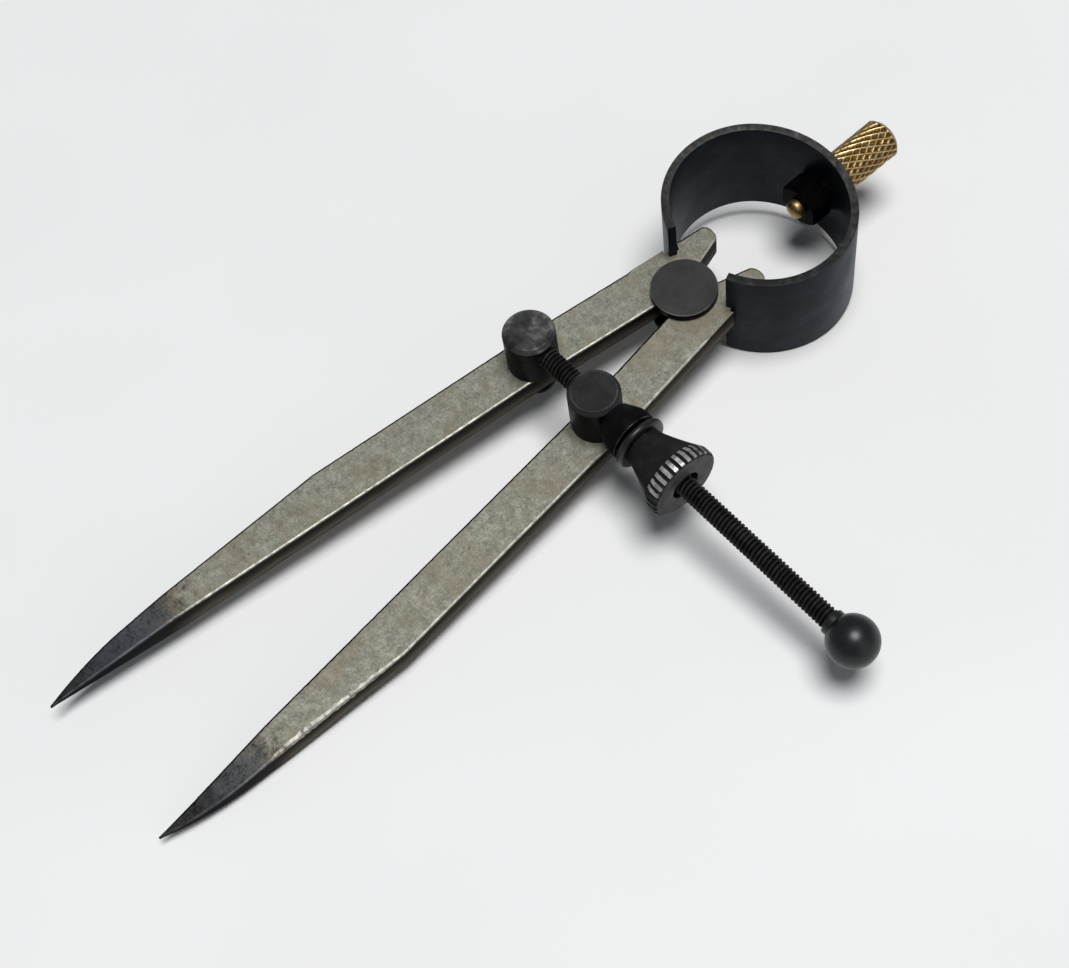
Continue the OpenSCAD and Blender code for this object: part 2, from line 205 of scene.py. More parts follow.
# rolled edge of the bar: near black above, brown-grey steel low down; its darkness is partly the bar's own
# scale and partly painted shade
def barEdgeSteel(name, heat):
    look = edgeLook
    material, tree, shader, coords = newMaterial(name)
    along = addNode(tree, "Mapping", {"Vector": coords, "Rotation": (0, 0, heat["turn"])}).outputs[0]
    height = addNode(tree, "SeparateXYZ", {"Vector": coords})
    pulled = addNode(tree, "Mapping", {
        "Vector": along, "Scale": tuple(1 / (size * mm) for size in look["cloud"])})
    cloud = addNode(tree, "TexNoise", {
        "Vector": pulled.outputs[0], "Scale": 1, "Detail": 5, "Roughness": 0.65}).outputs[0]
    uneven = addNode(tree, "MapRange", {
        "Value": cloud, "From Min": 0.3, "From Max": 0.7,
        "To Min": -look["ragged"] * mm, "To Max": look["ragged"] * mm})
    line = addNode(tree, "Math", {"operation": "ADD", 0: height.outputs[2], 1: uneven.outputs[0]})
    share = addNode(tree, "MapRange", {
        "Value": line.outputs[0], "From Min": -look["half"] * mm, "From Max": look["half"] * mm})
    tone = addNode(tree, "ValToRGB", {"Fac": share.outputs[0], "stops": look["stops"]})
    tint, cover = heatTint(tree, along, heat, cloud)
    dark = addNode(tree, "Mix", {
        "data_type": "RGBA", 0: look["burnMix"], 6: tint, 7: hexLinear(look["burnt"])})
    tinted = addNode(tree, "Mix", {"data_type": "RGBA", 0: cover, 6: tone.outputs[0], 7: dark.outputs[2]})
    bare = addNode(tree, "MapRange", {"Value": cover, "To Min": look["metallic"], "To Max": 0})
    gloss = addNode(tree, "MapRange", {"Value": cloud, "To Min": look["rough"], "To Max": look["smooth"]})
    bump = addNode(tree, "Bump", {
        "Height": cloud, "Strength": look["bumpy"], "Distance": look["bump"] * mm})
    setUp(tree, shader, {
        "Base Color": tinted.outputs[2], "Metallic": bare.outputs[0], "Roughness": gloss.outputs[0],
        "Specular IOR Level": look["specular"], "Normal": bump.outputs[0]})
    return material


arrisLook = {
    "stops": [(0.28, "#6a6760"), (0.42, "#88857d"), (0.62, "#a4a197")],
    "rough": 0.6, "smooth": 0.44,
    "patch": 0.7,    # mm
}


# the same steel rubbed bright along an arris: nearly white metal, broken by handling; only the arrises
# towards the light get it, so it is partly a painted highlight
def brightArris(name, heat):
    look = arrisLook
    material, tree, shader, coords = newMaterial(name)
    along = addNode(tree, "Mapping", {"Vector": coords, "Rotation": (0, 0, heat["turn"])})
    patch = addNode(tree, "TexNoise", {
        "Vector": coords, "Scale": 1 / (look["patch"] * mm), "Detail": 4, "Roughness": 0.65}).outputs[0]
    tone = addNode(tree, "ValToRGB", {"Fac": patch, "stops": look["stops"]})
    tint, cover = heatTint(tree, along.outputs[0], heat, patch)
    tinted = addNode(tree, "Mix", {"data_type": "RGBA", 0: cover, 6: tone.outputs[0], 7: tint})
    gloss = addNode(tree, "MapRange", {"Value": patch, "To Min": look["rough"], "To Max": look["smooth"]})
    setUp(tree, shader, {"Base Color": tinted.outputs[2], "Roughness": gloss.outputs[0], "Metallic": 1})
    return material


# a dark film rubbed through to bare metal, in patches, where the wear attribute is high
def rubThrough(tree, patches, tone, look):
    wear = addNode(tree, "Attribute", {"attribute_name": "wear"})
    broken = addNode(tree, "Math", {
        "operation": "MULTIPLY_ADD", 0: patches, 1: look["patchy"], 2: look["patchLevel"]})
    rubbed = addNode(tree, "Math", {"operation": "ADD", 0: wear.outputs["Fac"], 1: broken.outputs[0]})
    bare = addNode(tree, "MapRange", {
        "Value": rubbed.outputs[0], "From Min": look["rubFrom"], "From Max": look["rubTo"],
        "To Min": 0, "To Max": look["wear"]}).outputs[0]
    colour = addNode(tree, "Mix", {"data_type": "RGBA", 0: bare, 6: tone, 7: hexLinear(look["bare"])})
    return colour.outputs[2], bare


oxideLook = {
    "dark": "#070708", "mid": "#0b0b0c", "light": "#121213", "bare": "#8b8a86",
    "cloud": 1.1, "grain": 0.12, "bump": 0.01,    # mm; grain coarser than the real one, to show
    "patchy": 1.6, "patchLevel": -0.95, "rubFrom": 0.45, "rubTo": 1.0,    # how broken the rubbing looks
    "wear": 0.6, "roughness": 0.42, "swing": 0.06, "specular": 0.03, "bumpy": 0.3,
    "oil": 0.03, "oilGloss": 0.22,    # weight and roughness of the oil film
}


# black oxide on turned steel: a thin oiled black film, rubbed to grey steel where edges are handled
def blackOxide(name, changes):
    look = {**oxideLook, **changes}
    material, tree, shader, coords = newMaterial(name)
    cloud = addNode(tree, "TexNoise", {
        "Vector": coords, "Scale": 1 / (look["cloud"] * mm), "Detail": 5, "Roughness": 0.6}).outputs[0]
    grain = addNode(tree, "TexNoise", {"Vector": coords, "Scale": 1 / (look["grain"] * mm), "Detail": 2})
    tone = addNode(tree, "ValToRGB", {"Fac": cloud, "stops": [
        (0.34, look["dark"]), (0.52, look["mid"]), (0.70, look["light"])]})
    colour, bare = rubThrough(tree, cloud, tone.outputs[0], look)
    gloss = addNode(tree, "MapRange", {
        "Value": cloud, "From Min": 0.3, "From Max": 0.7,
        "To Min": look["roughness"] + look["swing"], "To Max": look["roughness"] - look["swing"]})
    bump = addNode(tree, "Bump", {
        "Height": grain.outputs[0], "Strength": look["bumpy"], "Distance": look["bump"] * mm})
    setUp(tree, shader, {
        "Base Color": colour, "Metallic": bare, "Roughness": gloss.outputs[0],
        "Specular IOR Level": look["specular"], "Coat Weight": look["oil"],
        "Coat Roughness": look["oilGloss"], "Normal": bump.outputs[0]})
    return material


springLook = {
    "dark": "#131519", "mid": "#1b1e22", "light": "#252a2e", "bare": "#77787a", "sheen": "#d8e0ea",
    "wear": 0.5, "roughness": 0.4, "swing": 0.05, "metallic": 0.35, "specular": 0.1, "bumpy": 0.08,
    "rolled": 0.18,    # share of the rolling lines
    "lineLong": 6.0, "lineWide": 0.35, "cloud": 3.2, "bump": 0.01,    # mm; lines wider than real, to show
    "patchy": 1.4, "patchLevel": -0.8, "rubFrom": 0.5, "rubTo": 1.05,
}


# blued spring steel: a smooth blue-black oxide, faint rolling lines along the band
def bluedSpring(name):
    look = springLook
    material, tree, shader, coords = newMaterial(name)
    long, wide = 1 / (look["lineLong"] * mm), 1 / (look["lineWide"] * mm)
    lines = addNode(tree, "Mapping", {"Vector": coords, "Scale": (long, long, wide)})
    rolled = addNode(tree, "TexNoise", {"Vector": lines.outputs[0], "Scale": 1, "Detail": 3})
    cloud = addNode(tree, "TexNoise", {
        "Vector": coords, "Scale": 1 / (look["cloud"] * mm), "Detail": 4, "Roughness": 0.6})
    both = addNode(tree, "Mix", {0: look["rolled"], 2: cloud.outputs[0], 3: rolled.outputs[0]}).outputs[0]
    tone = addNode(tree, "ValToRGB", {"Fac": both, "stops": [
        (0.36, look["dark"]), (0.52, look["mid"]), (0.68, look["light"])]})
    colour, _ = rubThrough(tree, both, tone.outputs[0], look)
    gloss = addNode(tree, "MapRange", {
        "Value": both, "From Min": 0.3, "From Max": 0.7,
        "To Min": look["roughness"] + look["swing"], "To Max": look["roughness"] - look["swing"]})
    bump = addNode(tree, "Bump", {
        "Height": rolled.outputs[0], "Strength": look["bumpy"], "Distance": look["bump"] * mm})
    setUp(tree, shader, {
        "Base Color": colour, "Roughness": gloss.outputs[0], "Metallic": look["metallic"],
        "Specular IOR Level": look["specular"], "Specular Tint": hexLinear(look["sheen"]),
        "Normal": bump.outputs[0]})
    return material


shearedLook = {
    "stops": [(0.32, "#1c1c1c"), (0.5, "#333332"), (0.64, "#454340"), (0.74, "#5c5955")],
    "metallic": 0.2, "specular": 0.15, "rough": 0.6, "smooth": 0.42,
    "darker": -0.16, "lighter": 0.06,    # near right and far left
    "cloud": 0.9, "rubbedOver": 18.0,    # mm
}


# sheared edge of the band: the oxide is thin and matt there, so it looks greyer than the walls
def shearedEdge(name):
    look = shearedLook
    material, tree, shader, coords = newMaterial(name)
    cloud = addNode(tree, "TexNoise", {
        "Vector": coords, "Scale": 1 / (look["cloud"] * mm), "Detail": 5, "Roughness": 0.65}).outputs[0]
    where = addNode(tree, "SeparateXYZ", {"Vector": coords})
    leftBack = addNode(tree, "Math", {"operation": "SUBTRACT", 0: where.outputs[1], 1: where.outputs[0]})
    rubbed = addNode(tree, "MapRange", {    # rubbed most at the left and the back
        "Value": leftBack.outputs[0], "From Min": 0, "From Max": look["rubbedOver"] * mm,
        "To Min": look["darker"], "To Max": look["lighter"]})
    level = addNode(tree, "Math", {"operation": "ADD", 0: cloud, 1: rubbed.outputs[0]})
    tone = addNode(tree, "ValToRGB", {"Fac": level.outputs[0], "stops": look["stops"]})
    gloss = addNode(tree, "MapRange", {"Value": cloud, "To Min": look["rough"], "To Max": look["smooth"]})
    setUp(tree, shader, {
        "Base Color": tone.outputs[0], "Roughness": gloss.outputs[0], "Metallic": look["metallic"],
        "Specular IOR Level": look["specular"]})
    return material


brassLook = {
    "stops": [(0.0, "#cdbe95"), (0.3, "#a18b5e"), (0.62, "#755932"), (1.0, "#523a1c")],
    "stain": 1.1, "stainLevel": -0.55, "ridgeGloss": 0.36, "pitGloss": 0.54,
    "cloud": 0.8,    # mm
}


# free-cutting brass, knurled: pale yellow on the ridges, brown dirt and tarnish down in the pits
def knurledBrass(name):
    look = brassLook
    material, tree, shader, coords = newMaterial(name)
    cloud = addNode(tree, "TexNoise", {
        "Vector": coords, "Scale": 1 / (look["cloud"] * mm), "Detail": 4, "Roughness": 0.65})
    depth = addNode(tree, "Attribute", {"attribute_name": "groove"})
    stain = addNode(tree, "Math", {
        "operation": "MULTIPLY_ADD", 0: cloud.outputs[0], 1: look["stain"], 2: look["stainLevel"]})
    level = addNode(tree, "Math", {"operation": "ADD", 0: depth.outputs["Fac"], 1: stain.outputs[0]})
    tone = addNode(tree, "ValToRGB", {"Fac": level.outputs[0], "stops": look["stops"]})
    gloss = addNode(tree, "MapRange", {
        "Value": level.outputs[0], "To Min": look["ridgeGloss"], "To Max": look["pitGloss"]})
    setUp(tree, shader, {"Base Color": tone.outputs[0], "Roughness": gloss.outputs[0], "Metallic": 1})
    return material


steel = {side: groundSteel("ground_steel_" + side, heatLook[side]) for side in heatLook}
arris = {side: brightArris("rubbed_steel_and_highlight_" + side, heatLook[side]) for side in heatLook}
barEdge = {side: barEdgeSteel("bar_edge_steel_" + side, heatLook[side]) for side in heatLook}
oxide = blackOxide("black_oxide_steel", {})
# the disc's top is a lighter copy of the oxide than its sides: painted sheen of the overhead light
oxideDiscTopSheen = blackOxide("black_oxide_disc_top_sheen", {
    "dark": "#363636", "mid": "#3c3c3c", "light": "#434343", "cloud": 2.4})
# the post tops are lighter copies of the oxide than the sides: painted sheen of the overhead light, with real
# wear on the far post's top
oxidePostTopSheen = blackOxide("black_oxide_near_post_top_sheen", {
    "dark": "#262626", "mid": "#2b2b2b", "light": "#333333", "cloud": 1.6})
oxideRubbedTopSheen = blackOxide("black_oxide_far_post_top_worn_and_sheen", {
    "dark": "#242424", "mid": "#40403f", "light": "#7c7c7a", "cloud": 2.0, "wear": 0.75})
oxideScrew = blackOxide("black_oxide_thread", {"wear": 0.1, "oil": 0.05})
oxideBall = blackOxide("black_oxide_ball", {
    "mid": "#070707", "wear": 0.1, "specular": 0.14, "oil": 0.5, "oilGloss": 0.32})
oxideNut = blackOxide("black_oxide_nut", {
    "dark": "#181818", "mid": "#1d1d1d", "light": "#252525", "bare": "#d0cfcb", "wear": 0.85,
    "specular": 0.06, "oil": 0.06})
# the nut's front face is a lighter copy of the oxide: painted light from the right
oxideFaceLit = blackOxide("black_oxide_nut_face_painted_light", {
    "dark": "#3c3c3d", "mid": "#464647", "light": "#525253", "wear": 0.5, "specular": 0.06})
# darker and duller than the other oxide: painted shade inside the band
oxideShadedNut = blackOxide("black_oxide_handle_nut_shaded", {
    "dark": "#030303", "mid": "#050505", "light": "#080808", "specular": 0.01, "oil": 0.01})
blued = bluedSpring("blued_spring_steel")
sheared = shearedEdge("sheared_spring_edge")
brass = knurledBrass("knurled_brass")
print("materials made:", len(bpy.data.materials))


def addPiece(name, verts, faces, material, wear=None, groove=None, kinds=None, sharp=32):
    mesh = bpy.data.meshes.new(name)
    mesh.from_pydata([tuple(v) for v in np.asarray(verts) * mm], [], faces)
    for label, values in (("wear", wear), ("groove", groove)):
        if values is not None:
            data = mesh.attributes.new(label, "FLOAT", "POINT").data
            data.foreach_set("value", np.asarray(values, np.float32))
    if kinds is not None:
        mesh.polygons.foreach_set("material_index", kinds)
    piece = bpy.data.objects.new(name, mesh)
    bpy.context.scene.collection.objects.link(piece)
    for item in material if isinstance(material, list) else [material]:
        mesh.materials.append(item)
    tidyMesh(piece, sharp)
    return piece


def tidyMesh(piece, sharp=32):
    work = bmesh.new()
    work.from_mesh(piece.data)
    bmesh.ops.remove_doubles(work, verts=work.verts, dist=0.0005 * mm)
    bmesh.ops.dissolve_degenerate(work, edges=work.edges, dist=0.0004 * mm)
    bmesh.ops.recalc_face_normals(work, faces=work.faces)
    work.to_mesh(piece.data)
    work.free()
    piece.data.polygons.foreach_set("use_smooth", [True] * len(piece.data.polygons))
    piece.data.set_sharp_from_angle(angle=math.radians(sharp))


def carve(piece, cutter, operation="DIFFERENCE", sharp=32):  # boolean, applied; the cutter goes
    step = piece.modifiers.new("carve", "BOOLEAN")
    step.operation = operation
    step.object = cutter
    step.solver = "EXACT"
    solid = bpy.data.meshes.new_from_object(piece.evaluated_get(bpy.context.evaluated_depsgraph_get()))
    piece.modifiers.clear()
    old = piece.data
    name = old.name
    piece.data = solid
    bpy.data.meshes.remove(old)
    solid.name = name
    bpy.data.objects.remove(cutter)
    tidyMesh(piece, sharp)


cutReach = 4.0    # mm, half the length of a cutter
cornerMost = 0.48    # share of a side that a rounded corner may take


def roundCorners(points, steps=4):  # (radius, height, cut, wear); a corner with a cut becomes a short curve
    line, wear = [], []
    count = len(points)
    for i, (r, z, cut, rub) in enumerate(points):
        here = np.array((r, z))
        if cut == 0:
            line.append(here)
            wear.append(rub)
            continue
        ends = []
        for other in (points[i - 1], points[(i + 1) % count]):
            away = np.array(other[:2]) - here
            ends.append(here + away * min(cut / np.linalg.norm(away), cornerMost))
        for t in np.linspace(0, 1, steps + 1):
            line.append((1 - t) ** 2 * ends[0] + 2 * t * (1 - t) * here + t * t * ends[1])
            wear.append(rub * (1 - abs(2 * t - 1)) ** 0.5)
    return np.array(line), np.array(wear)


def gridFaces(rows, count, closeRows=False, closeEach=False):  # quads between rows of count points
    faces = []
    for s in range(rows if closeRows else rows - 1):
        here, there = s * count, (s + 1) % rows * count
        for k in range(count if closeEach else count - 1):
            n = (k + 1) % count
            faces.append((here + k, here + n, there + n, there + k))
    return faces


def turned(points, segments, shape=None):  # a closed outline turned round Z
    line, rub = roundCorners(points)
    verts, wear = [], []
    for s in range(segments):
        angle = 2 * math.pi * s / segments
        for (r, z), w in zip(line, rub):
            r = r if shape is None else shape(r, z, angle)
            verts.append((r * math.cos(angle), r * math.sin(angle), z))
            wear.append(w)
    return np.array(verts), gridFaces(segments, len(line), True, True), np.array(wear)


def rodOutline(radius, low=-cutReach, high=cutReach):  # plain rod for boring a hole
    return [(0, low, 0, 0), (radius, low, 0, 0), (radius, high, 0, 0), (0, high, 0, 0)]


def upright(verts, x, y):  # turned axis Z stays up
    return verts + np.array((x, y, 0))


def alongScrew(verts, x):  # turned axis Z becomes +X on the screw line
    return np.stack([verts[:, 2] + x, verts[:, 0] + screwY, verts[:, 1] + screwZ], 1)


def alongHandle(verts, y):  # turned axis Z becomes +Y on the handle line
    return np.stack([verts[:, 1], verts[:, 2] + y, verts[:, 0]], 1)


def place(piece, body, node):
    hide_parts(node)
    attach(piece, body)


legShape = {
    "length": legLength, "width": 5.05, "thick": 2.6,
    "headLength": 6.9, "headWidth": 2.1, "headRound": 0.95,
    "fulcrumGap": 0.44, "postGap": 0.8, "postAlong": 16.9,
    "taperEnd": 1.5, "grindLength": 9.5, "pointWidth": 0.2,
    "thinLength": 14.0, "pointThick": 0.3,
    "hubRadius": 2.15, "tenonHole": 1.45,
    "fineLength": 15.0, "stations": (61, 232, 41, 18, 14),    # point, bar, hub, head, round of the head
    "arrisLit": 0.2, "arrisFar": 0.28, "arrisLow": 0.12,    # worn edges towards +X, towards -X, below
    "arrisMost": 0.3,    # share of the width or thickness
}
legSides = {
    "left": {"sign": -1, "taper": 33.0, "filed": 0.0, "seed": 3.1},
    "right": {"sign": 1, "taper": 27.5, "filed": 0.36, "seed": 8.7},
}
arrisWear = {
    "uneven": 0.2, "clear": [2.5, 3.3],    # mm from the fulcrum, where the flange ends
    "filedAt": [-65, -60, -52, -47], "filedShare": [0, 1, 0.7, 0],    # mm along the leg
}
notch = {"x": 4.574, "y": 2.489, "slope": 27.0, "wide": 1.62, "room": 0.05}


def legOutline(taper):  # stations along the closed right leg: y, inner x, outer x
    s = legShape
    bendY, headOut = -s["postAlong"], s["fulcrumGap"] + s["width"]
    bevel = math.atan((s["width"] - s["headWidth"]) / s["headLength"])
    headY = s["headLength"] - s["headRound"]
    inX = s["fulcrumGap"] + headY * math.tan(bevel) + s["headRound"] / math.cos(bevel)
    outX = max(headOut - s["headRound"], inX)
    taperX = s["postGap"] * taper / (s["length"] - s["postAlong"]) + s["width"]
    slope = math.atan((taperX - s["taperEnd"]) / taper)
    depth = s["taperEnd"] - s["pointWidth"]
    arcR = (s["grindLength"] ** 2 + depth ** 2) / (2 * depth)
    arcX = s["taperEnd"] + s["grindLength"] * math.sin(slope) - arcR * math.cos(slope)
    arcY = -s["length"] + s["grindLength"] * math.cos(slope) + arcR * math.sin(slope)
    grindTop = -s["length"] + s["grindLength"] * math.cos(slope)
    innerLine = [(-s["length"], 0), (bendY, s["postGap"]), (0, s["fulcrumGap"])]
    outerLine = [(-s["length"], s["taperEnd"]), (-s["length"] + taper, taperX),
                 (bendY, s["postGap"] + s["width"]), (0, headOut), (headY, headOut)]
    hubLow = math.sqrt(s["hubRadius"] ** 2 - s["fulcrumGap"] ** 2)
    arcTop = headY + s["headRound"] * math.sin(bevel)
    fineTop = -s["length"] + s["fineLength"]
    point, bar, hub, head, tip = s["stations"]
    ys = np.concatenate([
        np.linspace(-s["length"], fineTop, point)[:-1],
        np.linspace(fineTop, -hubLow, bar)[:-1],
        -np.cos(np.linspace(0, math.pi, hub)) * hubLow,
        np.linspace(hubLow, headY, head)[1:-1],
        headY + s["headRound"] * np.sin(np.linspace(0, math.pi / 2, tip)),
    ])
    rows = []
    for y in ys:
        inner = np.interp(y, *zip(*innerLine))
        if y > 0:
            inner = s["fulcrumGap"] + y * math.tan(bevel)
        if y > arcTop:
            inner = inX - math.sqrt(max(s["headRound"] ** 2 - (y - headY) ** 2, 0))
        if abs(y) < s["hubRadius"]:
            inner = max(inner, math.sqrt(s["hubRadius"] ** 2 - y * y))
        outer = np.interp(y, *zip(*outerLine))
        if y < grindTop:
            outer = arcX + math.sqrt(arcR ** 2 - (y - arcY) ** 2)
        if y > headY:
            outer = outX + math.sqrt(max((headOut - outX) ** 2 - (y - headY) ** 2, 0))
        rows.append((y, inner, outer))
    return np.array(rows)


def arrisSize(y, lit, look):  # how far the edge is worn back at one station
    size = legShape["arrisLit"] if lit else legShape["arrisFar"]
    wear, seed = arrisWear, look["seed"]
    grain = noise.noise(Vector((y * 1.7, seed, 0))) + 0.6 * noise.noise(Vector((y * 5.1, seed, 4)))
    size *= (1 + wear["uneven"] * grain) * np.interp(abs(y), wear["clear"], [0, 1])
    if lit and look["filed"]:    # coarse file strokes along the taper of the near leg
        band = np.interp(y, wear["filedAt"], wear["filedShare"])
        chip = noise.noise(Vector((y * 2.6, 1.3, seed))) + 0.7 * noise.noise(Vector((y * 7.0, 5.3, seed)))
        size += look["filed"] * band * max(0.7 + 0.6 * chip, 0)
    return size


def makeLeg(side):
    look = legSides[side]
    sign, rows = look["sign"], legOutline(look["taper"])
    count = len(rows)
    path = np.concatenate([rows[:, [1, 0]], rows[::-1][:, [2, 0]]])    # up the inner edge, down the outer one
    step = np.roll(path, -1, 0) - np.roll(path, 1, 0)
    step /= np.linalg.norm(step, axis=1)[:, None]
    normal = np.stack([-step[:, 1], step[:, 0]], 1)
    wide = np.concatenate([rows[:, 2] - rows[:, 1], (rows[:, 2] - rows[:, 1])[::-1]])
    thinFrom = -legShape["length"] + legShape["thinLength"]
    thick = np.interp(
        path[:, 1], [-legShape["length"], thinFrom], [legShape["pointThick"], legShape["thick"]])
    cut = []
    for k, (x, y) in enumerate(path):
        size = arrisSize(y, (k >= count) == (sign > 0), look)
        cut.append(min(size, legShape["arrisMost"] * min(wide[k], thick[k])))
    cut = np.array(cut)
    low = np.minimum(cut, legShape["arrisLow"])
    inset, insetLow = path - normal * cut[:, None], path - normal * low[:, None]
    corner = 1 - math.sqrt(0.5)    # the worn edge is a quarter round in two flats
    rings = [
        np.column_stack([insetLow, -thick / 2]),
        np.column_stack([path, -thick / 2 + low]),
        np.column_stack([path, thick / 2 - cut]),
        np.column_stack([path - normal * corner * cut[:, None], thick / 2 - corner * cut]),
        np.column_stack([inset, thick / 2]),
    ]
    total = 2 * count
    faces = gridFaces(len(rings), total, closeEach=True)
    # kinds: 0 ground face, 1 bright arris, only on the top edges towards the light and partly a painted
    # highlight, 2 edge of the bar, also on the far top arris as a painted shade line
    kinds = [1 if ring > 1 and (k >= count) == (sign > 0) else 2 for ring in range(4) for k in range(total)]
    for ring in (0, 4):
        for k in range(count - 1):
            a, b = ring * total + k, ring * total + k + 1
            c, d = ring * total + total - 2 - k, ring * total + total - 1 - k
            faces.append((a, b, c, d))
            kinds.append(0)
    verts = np.concatenate(rings)
    turn = np.array([[math.cos(openTurn), -math.sin(openTurn)], [math.sin(openTurn), math.cos(openTurn)]])
    verts[:, :2] = verts[:, :2] @ turn.T
    verts[:, 0] *= sign
    materials = [steel[side], arris[side], barEdge[side]]
    piece = addPiece(side + "_leg_ground", verts, faces, materials, kinds=kinds, sharp=20)
    # notch for the end of the band, and the hole for the post's tenon
    size, half = legShape["width"], notch["wide"] / 2
    box = np.array([(x, y, z) for x in (0, size) for y in (-half, half) for z in (-cutReach, cutReach)])
    box[:, 0] -= notch["room"]
    slope = math.radians(notch["slope"])
    lean = np.array([[math.cos(slope), -math.sin(slope)], [math.sin(slope), math.cos(slope)]])
    box[:, :2] = box[:, :2] @ lean.T + (notch["x"], notch["y"])
    box[:, 0] *= sign
    carve(piece, addPiece(side + "_notch", box, boxFaces, steel[side]), sharp=20)
    hole, ringFaces, _ = turned(rodOutline(legShape["tenonHole"]), segments=64)
    hole = upright(hole, sign * postX, screwY)
    carve(piece, addPiece(side + "_hole", hole, ringFaces, steel[side]), sharp=20)
    place(piece, side + "_arm", side + "_leg")


boxFaces = [(0, 1, 3, 2), (4, 6, 7, 5), (0, 4, 5, 1), (2, 3, 7, 6), (0, 2, 6, 4), (1, 5, 7, 3)]
for side in legSides:
    makeLeg(side)
print("legs made")


bandShape = {
    "width": 20.9, "length": 19.4, "height": 12.8, "thick": 0.9,
    "back": 1.0, "mouth": 22.5, "seat": 25.5, "slot": 2.7,
    "oval": 1.6, "slotDeep": 3.0, "slotHalf": 2.0,    # slotHalf is the cutter's, through the wall
    "edge": 0.12, "studHole": 1.15, "steps": 130,
}
crownY = bandShape["back"] + bandShape["length"]


def loopPoint(alpha, inset):  # point of the oval loop whose outward normal lies at alpha
    b = bandShape
    halfWide, halfLong = b["width"] / 2, b["length"] / 2
    middleY = b["back"] + halfLong
    sideC = b["oval"] * (halfWide - halfLong)
    sideR = halfWide - sideC
    rest = halfLong - sideR
    crownC = (sideC ** 2 - rest ** 2) / (2 * rest)
    crownR = crownC + halfLong
    change = math.atan2(crownC, sideC)
    if abs(alpha) <= change:
        centre, radius = (sideC, middleY), sideR
    else:
        centre, radius = (0, middleY - math.copysign(crownC, alpha)), crownR
    reach = radius - inset
    return np.array((centre[0] + reach * math.cos(alpha), centre[1] + reach * math.sin(alpha)))


def makeBand(side, sign):
    b = bandShape
    half, edge = b["height"] / 2, b["edge"]
    section, rub = roundCorners([
        (0, -half, edge, 0), (0, half, edge, 0.9),
        (b["thick"], half, edge, 0.5), (b["thick"], -half, edge, 0)])
    alphas = np.linspace(math.radians(b["mouth"] - 90), math.pi / 2, b["steps"])
    count = len(section)
    verts, wear = [], []
    for alpha in alphas:
        for (inset, z), w in zip(section, rub):
            x, y = loopPoint(alpha, inset)
            verts.append((sign * x if alpha < alphas[-1] else 0.0, y, z))
            wear.append(w)
    faces = gridFaces(len(alphas), count, closeEach=True)
    onEdge = np.abs(section[:, 1]) > half - edge / 2
    kinds = [int(p and q) for p, q in zip(onEdge, np.roll(onEdge, -1))]    # 0 walls, 1 sheared edges
    kinds *= len(alphas) - 1
    faces += [tuple(range(count)), tuple(range((len(alphas) - 1) * count, len(alphas) * count))]
    kinds += [0, 0]
    band = addPiece("bow_spring_" + side, verts, faces, [blued, sheared], wear=wear, kinds=kinds)
    # slot that sits in the leg's notch, and half of the hole for the handle's stud
    seat = math.radians(b["seat"] - 90)
    floor = loopPoint(seat, b["thick"] / 2)
    out = np.array((math.cos(seat), math.sin(seat)))
    back = np.array((out[1], -out[0]))
    box = []
    for reach in (0, b["slotDeep"]):
        for across in (-b["slotHalf"], b["slotHalf"]):
            for z in (-b["slot"] / 2, b["slot"] / 2):
                x, y = floor + out * across + back * reach
                box.append((sign * x, y, z))
    carve(band, addPiece(side + "_slot", box, boxFaces, blued))
    hole, ringFaces, _ = turned(rodOutline(b["studHole"]), segments=48)
    carve(band, addPiece(side + "_stud_hole", alongHandle(hole, crownY), ringFaces, blued))
    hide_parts("bow_spring")
    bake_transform(band)


makeBand("left", -1)
makeBand("right", 1)
print("bow spring made")


fulcrum = {"flange": 3.5, "thick": 0.9, "hub": 2.1, "tenon": 1.2, "edge": 0.16}


def makeFulcrum():
    f = fulcrum
    foot, top = spanOf("fulcrum_stud", 2)
    low, washerTop = spanOf("fulcrum_washer", 2)
    under = top - f["thick"]
    verts, faces, wear = turned([
        (0, foot, 0, 0), (f["tenon"], foot, 0.1, 0.6), (f["tenon"], washerTop, 0, 0),
        (f["hub"], washerTop, 0, 0), (f["hub"], under, 0, 0), (f["flange"], under, 0.1, 0.2),
        (f["flange"], top, f["edge"], 1), (0, top, 0, 0)], segments=128)
    # the top gets the lighter oxide: painted sheen
    kinds = [int(min(verts[k][2] for k in face) > top - 0.75 * f["edge"]) for face in faces]    # 1 on the top
    stud = addPiece("fulcrum_stud_turned", verts, faces, [oxide, oxideDiscTopSheen], wear=wear, kinds=kinds)
    place(stud, "head", "fulcrum_stud")
    verts, faces, wear = turned([
        (f["tenon"], low, 0, 0), (f["flange"], low, 0.14, 1), (f["flange"], washerTop, 0.1, 0.4),
        (f["tenon"], washerTop, 0, 0)], segments=128)
    washer = addPiece("fulcrum_washer_turned", verts, faces, oxide, wear=wear)
    place(washer, "head", "fulcrum_washer")


makeFulcrum()
print("fulcrum made")


postShape = {"radius": 2.7, "chamfer": 0.4, "tenon": 1.4, "legTop": 1.3, "washer": 2.2, "edge": 0.08}
postSides = {
    "left": {"sign": -1, "bore": 1.1, "body": "screw_swivel", "finish": oxideRubbedTopSheen},
    "right": {"sign": 1, "bore": 1.15, "body": "seat_swivel", "finish": oxidePostTopSheen},
}


